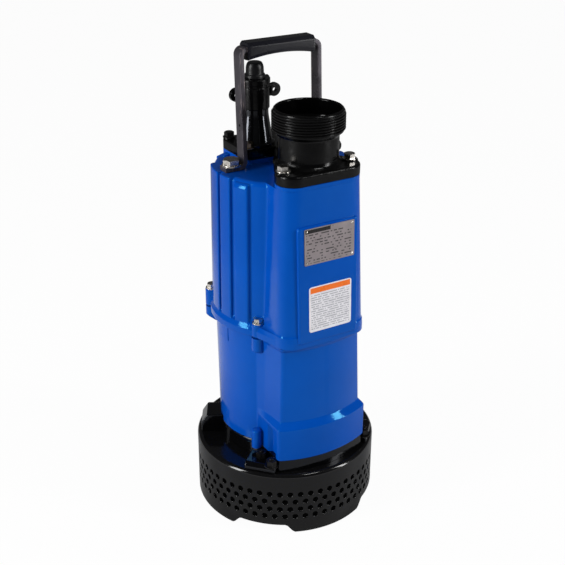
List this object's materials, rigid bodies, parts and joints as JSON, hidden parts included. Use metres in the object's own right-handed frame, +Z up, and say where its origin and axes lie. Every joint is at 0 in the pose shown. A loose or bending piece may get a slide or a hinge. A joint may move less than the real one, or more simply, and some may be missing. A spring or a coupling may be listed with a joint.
{
  "type": "portable submersible dewatering pump",
  "caption": "Slim submersible dewatering pump standing on a perforated round strainer, with a threaded top discharge, a cable gland and a bent bar handle.",
  "frame": {"origin": "centre of the strainer's round foot, on the floor", "axes": "+Z up along the pump, -Y towards the discharge side with the rating plate, +X to the right of someone who faces that side"},
  "size_m": [0.24, 0.24, 0.6188],
  "materials": {
    "housing_blue": "gloss enamel",
    "cast_black": "satin black paint on a casting",
    "strainer_paint": "gloss black paint on sheet steel",
    "impeller_iron": "cast",
    "bright_steel": "bright stainless",
    "handle_steel": "dull bare steel",
    "black_rubber": "matt",
    "grip_plastic": "satin",
    "plate_metal": "printed satin metal",
    "decal_film": "printed film"
  },
  "bodies": {
    "root": {"strainer": "strainer_paint", "pump_casing": "cast_black", "suction_cover": "cast_black", "impeller": "impeller_iron", "pump_shaft": "bright_steel", "lower_housing": "housing_blue", "housing_gasket": "black_rubber", "motor_housing": "housing_blue", "discharge_gasket": "black_rubber", "discharge_coupling": "cast_black", "head_gasket": "black_rubber", "head_cover": "cast_black", "gland_body": "cast_black", "gland_cap": "cast_black", "impeller_nut": "bright_steel", "gland_clamp": "cast_black", "cable_boot": "black_rubber", "handle_bar": "handle_steel", "handle_grip": "grip_plastic", "nameplate": "plate_metal"}
  },
  "joints": []
}
